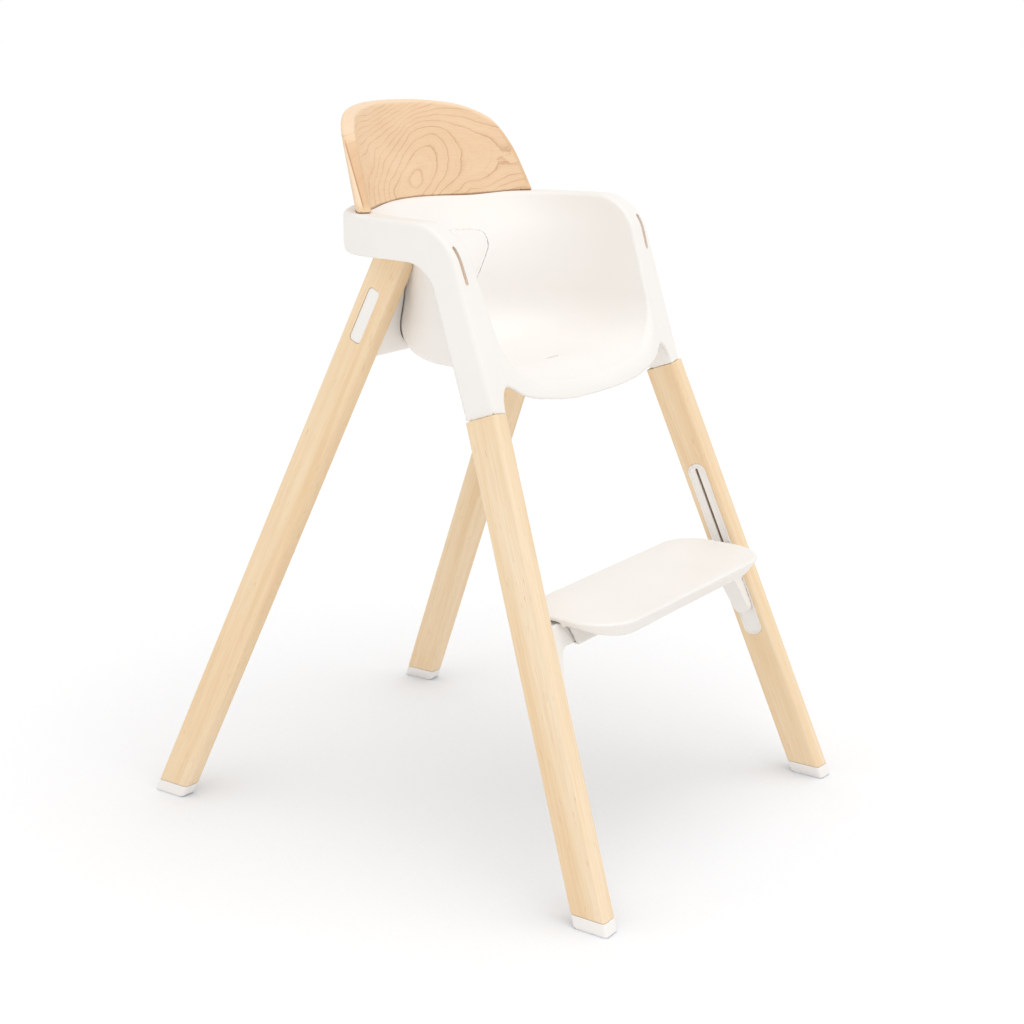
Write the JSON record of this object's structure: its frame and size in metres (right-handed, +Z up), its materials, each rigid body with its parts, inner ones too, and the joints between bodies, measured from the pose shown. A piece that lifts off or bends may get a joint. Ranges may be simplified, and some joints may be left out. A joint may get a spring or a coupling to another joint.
{
  "type": "high chair",
  "caption": "Baby high chair: splayed wooden legs carry a moulded seat shell with armrests and a bent wood backrest; a footrest slides in tracks on the front legs.",
  "frame": {"origin": "on the floor, in the plane of symmetry, midway between the front and the rear feet", "axes": "+Z up, -Y towards the front where the footrest is, +X towards the seated child's left"},
  "size_m": [0.541, 0.6801, 0.848],
  "materials": {
    "shell_plastic": "satin moulded polypropylene, warm off-white",
    "trim_plastic": "satin moulded plastic, warm off-white",
    "slider_plastic": "smooth low-friction plastic",
    "bent_wood": "bent laminated maple, satin lacquer",
    "leg_wood": "solid pale maple or beech, satin lacquer",
    "cap_rubber": "soft off-white non-marking rubber",
    "steel": "zinc plated screw steel"
  },
  "bodies": {
    "chair": {"seat_shell": "shell_plastic", "harness_hatch": "trim_plastic", "backrest": "bent_wood", "backrest_screw_1": "steel", "backrest_screw_2": "steel", "backrest_screw_3": "steel", "backrest_screw_4": "steel", "front_leg_left": "leg_wood", "front_leg_right": "leg_wood", "rear_leg_left": "leg_wood", "rear_leg_right": "leg_wood", "front_foot_cap_left": "cap_rubber", "front_foot_cap_right": "cap_rubber", "rear_foot_cap_left": "cap_rubber", "rear_foot_cap_right": "cap_rubber", "front_leg_bolt_left": "steel", "front_leg_bolt_right": "steel", "front_leg_barrel_nut_left": "steel", "front_leg_barrel_nut_right": "steel", "rear_yoke": "shell_plastic", "rear_leg_lower_bolt_left": "steel", "rear_leg_lower_bolt_right": "steel", "rear_leg_upper_bolt_left": "steel", "rear_leg_upper_bolt_right": "steel", "yoke_screw_left": "steel", "yoke_screw_right": "steel", "rear_leg_cover_left": "trim_plastic", "rear_leg_cover_right": "trim_plastic", "footrest_track_left": "trim_plastic", "footrest_track_right": "trim_plastic"},
    "footrest": {"footrest_board": "shell_plastic"},
    "carriage_left": {"footrest_carriage_left": "shell_plastic", "footrest_slider_left": "slider_plastic", "slider_lower_pin_left": "steel", "slider_upper_pin_left": "steel"},
    "carriage_right": {"footrest_carriage_right": "shell_plastic", "footrest_slider_right": "slider_plastic", "slider_lower_pin_right": "steel", "slider_upper_pin_right": "steel"}
  },
  "joints": [
    {"name": "footrest_height", "type": "slide", "parent": "chair", "child": "footrest", "axis": [0, 0.3444, 0.9388], "range_m": [-0.025, 0.095]},
    {"name": "carriage_left_reach", "type": "slide", "parent": "footrest", "child": "carriage_left", "axis": [-1, 0, 0], "range_m": [-0.0034, 0.0119]},
    {"name": "carriage_right_reach", "type": "slide", "parent": "footrest", "child": "carriage_right", "axis": [1, 0, 0], "range_m": [-0.0034, 0.0119]}
  ],
  "couplings": [
    {"joint": "carriage_left_reach", "follows": "footrest_height", "ratio": 0.12336},
    {"joint": "carriage_right_reach", "follows": "footrest_height", "ratio": 0.12336}
  ]
}
